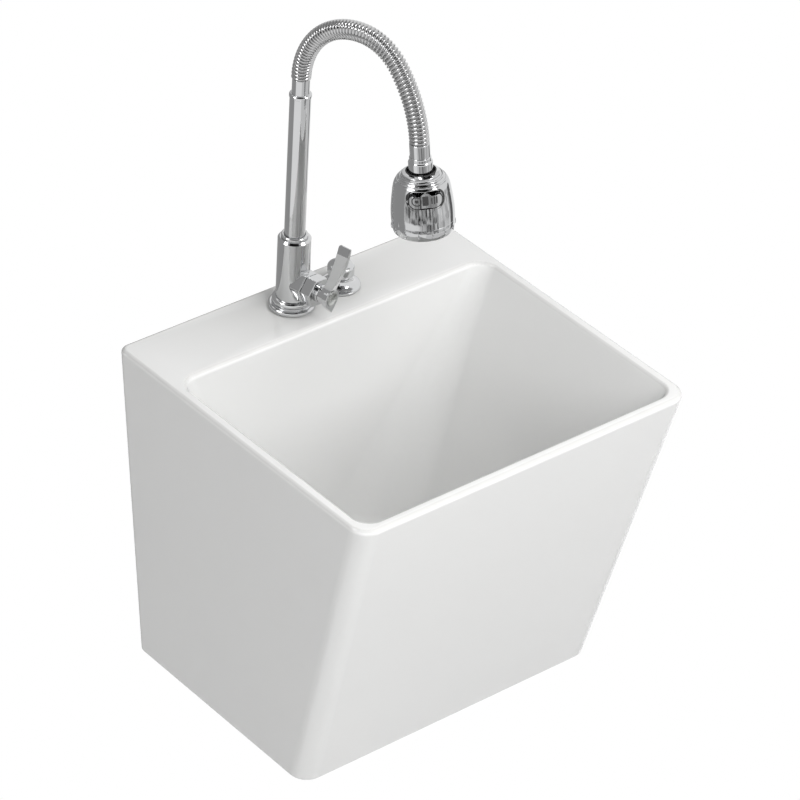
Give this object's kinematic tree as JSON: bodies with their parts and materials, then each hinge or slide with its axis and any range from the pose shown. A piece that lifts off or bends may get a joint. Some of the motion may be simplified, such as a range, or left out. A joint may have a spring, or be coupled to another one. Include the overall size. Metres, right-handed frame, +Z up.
{
  "type": "wall-mounted mop sink",
  "caption": "Wall-hung ceramic mop sink with a deep tapered bowl, a lever tap with a flexible gooseneck spray, and a pull-up waste.",
  "frame": {"origin": "middle of the line between the two wall bolts, in the plane of the wall", "axes": "+Z up, -Y out of the wall towards the user, +X to the right when facing the wall"},
  "size_m": [0.3996, 0.3746, 0.802],
  "materials": {
    "glaze": "white gloss glaze",
    "chrome": "polished chrome plate on brass",
    "wound_steel": "polished wound strip",
    "plated_plastic": "chrome-plated plastic",
    "grey_plastic": "moulded",
    "white_plastic": "moulded",
    "steel_mesh": "woven strainer",
    "steel": "plated washer",
    "brass": "turned",
    "ceramic_valve": "valve cartridge",
    "rubber": "matte"
  },
  "bodies": {
    "basin": {"basin": "glaze", "tap_gasket": "rubber", "tap_flange": "chrome", "shank_washer": "rubber", "shank_plate": "steel", "shank_nut": "brass", "shank": "brass", "tap_body": "chrome", "valve_cartridge": "ceramic_valve", "bonnet_nut": "chrome", "gland_nut": "chrome", "riser_collar": "chrome", "knob_gasket": "rubber", "knob_flange": "chrome", "knob_housing": "brass", "knob_washer": "rubber", "knob_nut": "brass", "flange_gasket": "rubber", "drain_flange": "chrome", "drain_seal": "rubber", "drain_washer": "white_plastic", "drain_nut": "white_plastic", "drain_body": "white_plastic", "tail_seal": "rubber", "tail_nut": "white_plastic", "tailpiece": "white_plastic"},
    "lever": {"lever": "chrome", "lever_cap": "chrome", "spindle": "brass"},
    "spout": {"riser": "chrome", "riser_seals": "rubber", "riser_ferrule": "chrome", "flex_hose": "wound_steel", "hose_ferrule": "chrome", "swivel_nut": "chrome", "ball_stem": "brass"},
    "ball_seat": {"ball_seat": "white_plastic"},
    "spray_head": {"spray_shell": "plated_plastic", "spray_cap": "chrome", "spray_core": "white_plastic", "switch_pin": "steel", "spray_ring": "plated_plastic", "jet_plate": "grey_plastic", "aerator": "steel_mesh"},
    "spray_switch": {"spray_switch": "plated_plastic"},
    "knob": {"drain_knob": "chrome", "knob_stem": "brass"},
    "plug": {"drain_plug": "chrome", "plug_seal": "rubber", "plug_stem": "brass"}
  },
  "joints": [
    {"name": "spout_swivel", "type": "hinge", "parent": "basin", "child": "spout", "pos_m": [-0.0196, -0.0395, 0.14], "axis": [0, 0, 1], "range_deg": [-100, 78]},
    {"name": "lever_turn", "type": "hinge", "parent": "basin", "child": "lever", "pos_m": [-0.01235, -0.0768, 0.09], "axis": [0.1908, -0.9816, 0], "range_deg": [0, 90]},
    {"name": "spray_tilt", "type": "hinge", "parent": "spout", "child": "ball_seat", "pos_m": [0.00885, -0.18588, 0.27325], "axis": [0.9816, 0.1908, 0], "range_deg": [-8, 8]},
    {"name": "spray_turn", "type": "hinge", "parent": "ball_seat", "child": "spray_head", "pos_m": [0.00885, -0.18588, 0.27325], "axis": [-0.0232, 0.1196, 0.9925], "continuous": true},
    {"name": "switch_rock", "type": "hinge", "parent": "spray_head", "child": "spray_switch", "pos_m": [-0.00377, -0.20878, 0.26261], "axis": [-0.0232, 0.1196, 0.9925], "range_deg": [-7, 7]},
    {"name": "knob_lift", "type": "slide", "parent": "basin", "child": "knob", "axis": [0, 0, 1], "range_m": [0, 0.012]},
    {"name": "plug_lift", "type": "slide", "parent": "basin", "child": "plug", "axis": [0, 0, 1], "range_m": [0, 0.0101]}
  ],
  "couplings": [
    {"joint": "plug_lift", "follows": "knob_lift", "ratio": 0.8333}
  ]
}
